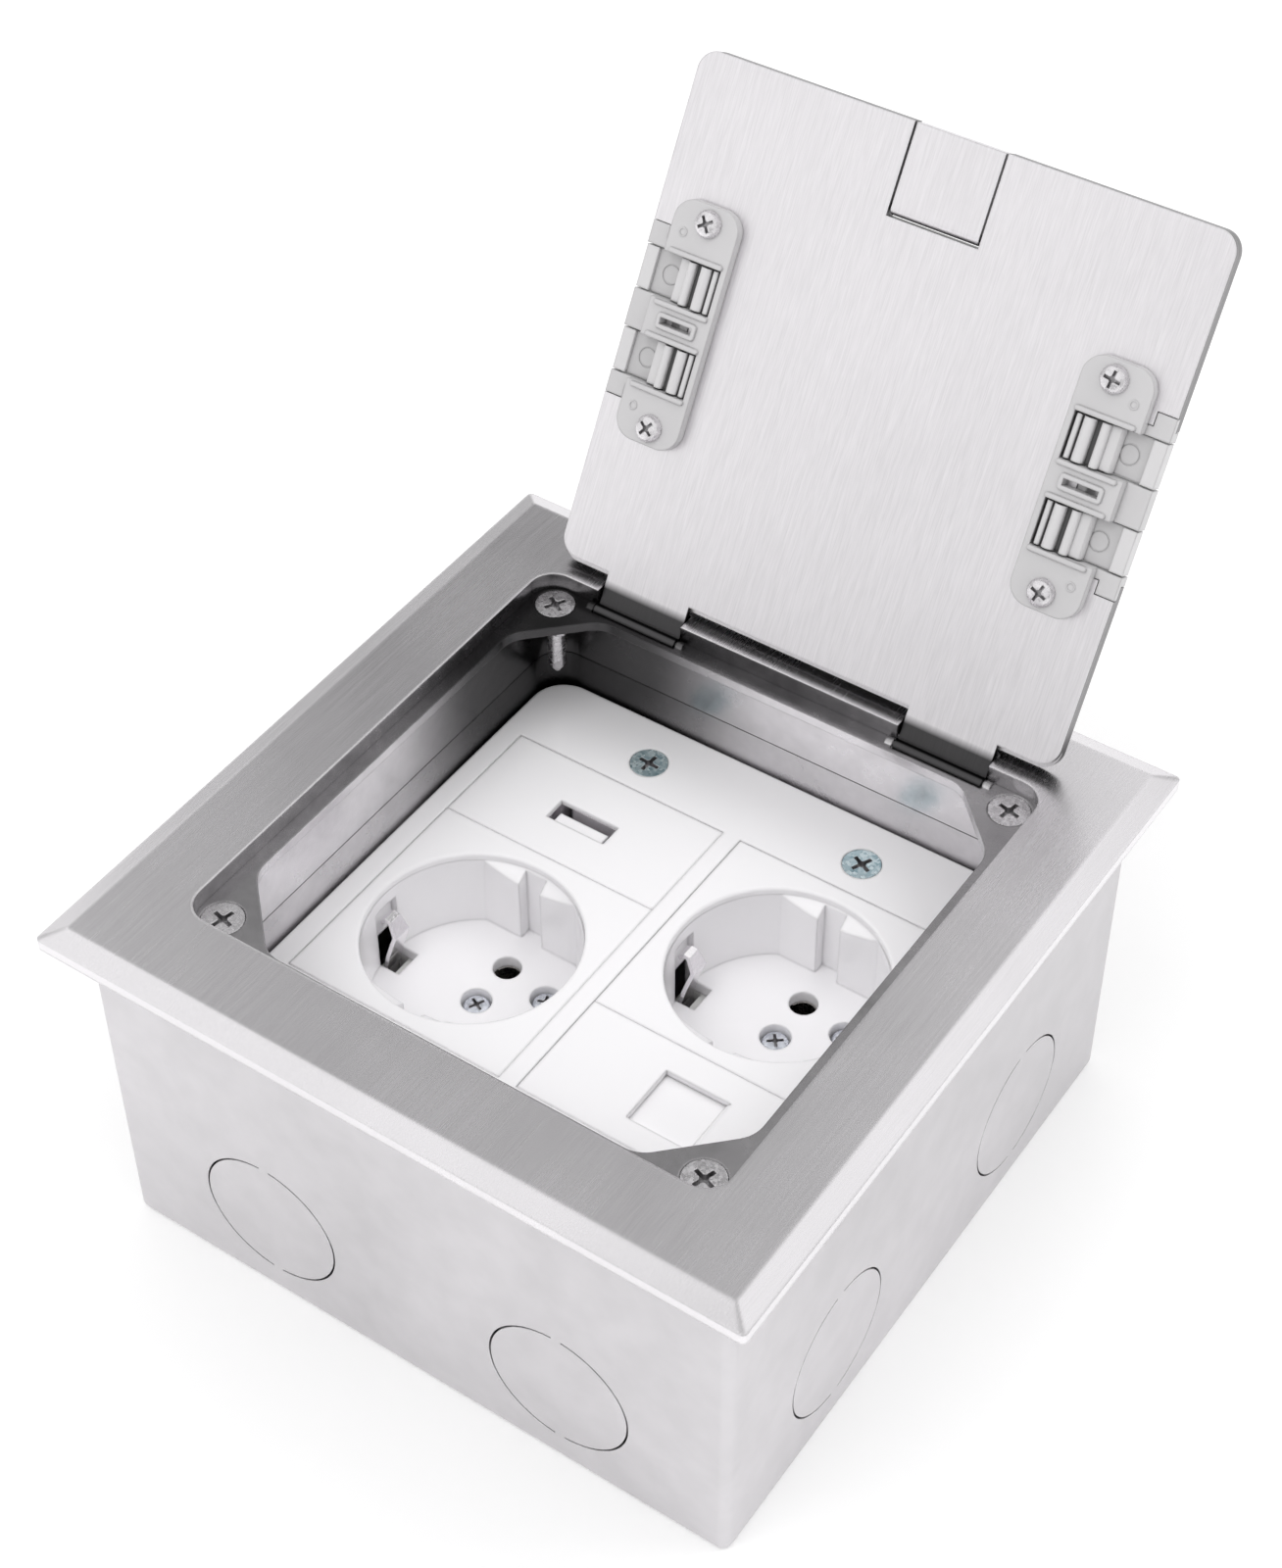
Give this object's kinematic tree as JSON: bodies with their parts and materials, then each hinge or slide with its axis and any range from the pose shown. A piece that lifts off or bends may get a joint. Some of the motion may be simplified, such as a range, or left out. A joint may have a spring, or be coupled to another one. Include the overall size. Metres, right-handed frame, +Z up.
{
  "type": "floor junction box",
  "caption": "Flush floor junction box: bevelled steel frame, hinged lid with cable outlets, earthed power outlets, a charging outlet and a shuttered data outlet.",
  "frame": {"origin": "centre of the back box's underside", "axes": "+Z up out of the floor, -Y towards the front, +X right; the lid is hinged at +Y and stands open"},
  "size_m": [0.14, 0.1752, 0.1615],
  "materials": {
    "box_galvanised": "satin",
    "terminal_brass": "satin",
    "frame_stainless": "brushed",
    "cast_grey": "matte",
    "liner_steel": "satin",
    "zinc_screw": "satin",
    "pin_steel": "polished",
    "clip_nickel": "satin",
    "white_plastic": "gloss",
    "rear_plastic": "matte",
    "tongue_plastic": "matte",
    "board_green": "satin",
    "contact_gold": "polished",
    "lid_inner_steel": "brushed",
    "lid_outer_steel": "brushed",
    "grey_plastic": "satin"
  },
  "bodies": {
    "box": {"back_box": "box_galvanised", "box_lugs": "box_galvanised", "earth_terminal": "terminal_brass", "frame_plate": "frame_stainless", "cast_tray": "cast_grey", "corner_screws": "zinc_screw", "hinge_pins": "pin_steel", "panel_bracket": "liner_steel", "bracket_screws": "box_galvanised", "socket_panel": "white_plastic", "panel_screws": "zinc_screw", "socket_insert_left": "white_plastic", "socket_insert_right": "white_plastic", "socket_base_left": "rear_plastic", "socket_base_right": "rear_plastic", "pin_contacts_left": "terminal_brass", "pin_contacts_right": "terminal_brass", "earth_clips_left": "clip_nickel", "earth_clips_right": "clip_nickel", "socket_screws": "zinc_screw", "terminal_screws": "zinc_screw", "usb_module_face": "white_plastic", "usb_shell": "clip_nickel", "usb_tongue": "white_plastic", "usb_housing": "rear_plastic", "usb_board": "board_green", "usb_board_parts": "tongue_plastic", "data_module_face": "white_plastic", "keystone_jack": "tongue_plastic", "keystone_contacts": "contact_gold"},
    "lid": {"lid_inner_plate": "lid_inner_steel", "lid_top_plate": "lid_outer_steel", "cable_guide_left": "grey_plastic", "cable_guide_right": "grey_plastic", "guide_screws": "zinc_screw", "lift_pin": "pin_steel"},
    "lift_tab": {"lift_tab": "lid_outer_steel"},
    "cable_flap_left_lower": {"cable_flap_left_lower": "grey_plastic"},
    "cable_flap_left_upper": {"cable_flap_left_upper": "grey_plastic"},
    "cable_flap_right_lower": {"cable_flap_right_lower": "grey_plastic"},
    "cable_flap_right_upper": {"cable_flap_right_upper": "grey_plastic"},
    "data_shutter": {"data_shutter": "white_plastic"}
  },
  "joints": [
    {"name": "lid_hinge", "type": "hinge", "parent": "box", "child": "lid", "pos_m": [0, 0.0512, 0.07236], "axis": [1, 0, 0], "range_deg": [0, 119.76]},
    {"name": "lift_tab_pivot", "type": "hinge", "parent": "lid", "child": "lift_tab", "pos_m": [0, 0.09652, 0.1477], "axis": [-1, 0, 0], "range_deg": [0, 75]},
    {"name": "flap_left_lower_pivot", "type": "hinge", "parent": "lid", "child": "cable_flap_left_lower", "pos_m": [-0.0422, 0.07552, 0.113], "axis": [0, -0.4964, -0.8681], "range_deg": [0, 80]},
    {"name": "flap_left_upper_pivot", "type": "hinge", "parent": "lid", "child": "cable_flap_left_upper", "pos_m": [-0.0422, 0.08326, 0.12654], "axis": [0, -0.4964, -0.8681], "range_deg": [0, 80]},
    {"name": "flap_right_lower_pivot", "type": "hinge", "parent": "lid", "child": "cable_flap_right_lower", "pos_m": [0.0422, 0.07552, 0.113], "axis": [0, 0.4964, 0.8681], "range_deg": [0, 80]},
    {"name": "flap_right_upper_pivot", "type": "hinge", "parent": "lid", "child": "cable_flap_right_upper", "pos_m": [0.0422, 0.08326, 0.12654], "axis": [0, 0.4964, 0.8681], "range_deg": [0, 80]},
    {"name": "data_shutter_slide", "type": "slide", "parent": "box", "child": "data_shutter", "axis": [-1, 0, 0], "range_m": [0, 0.0123]}
  ]
}
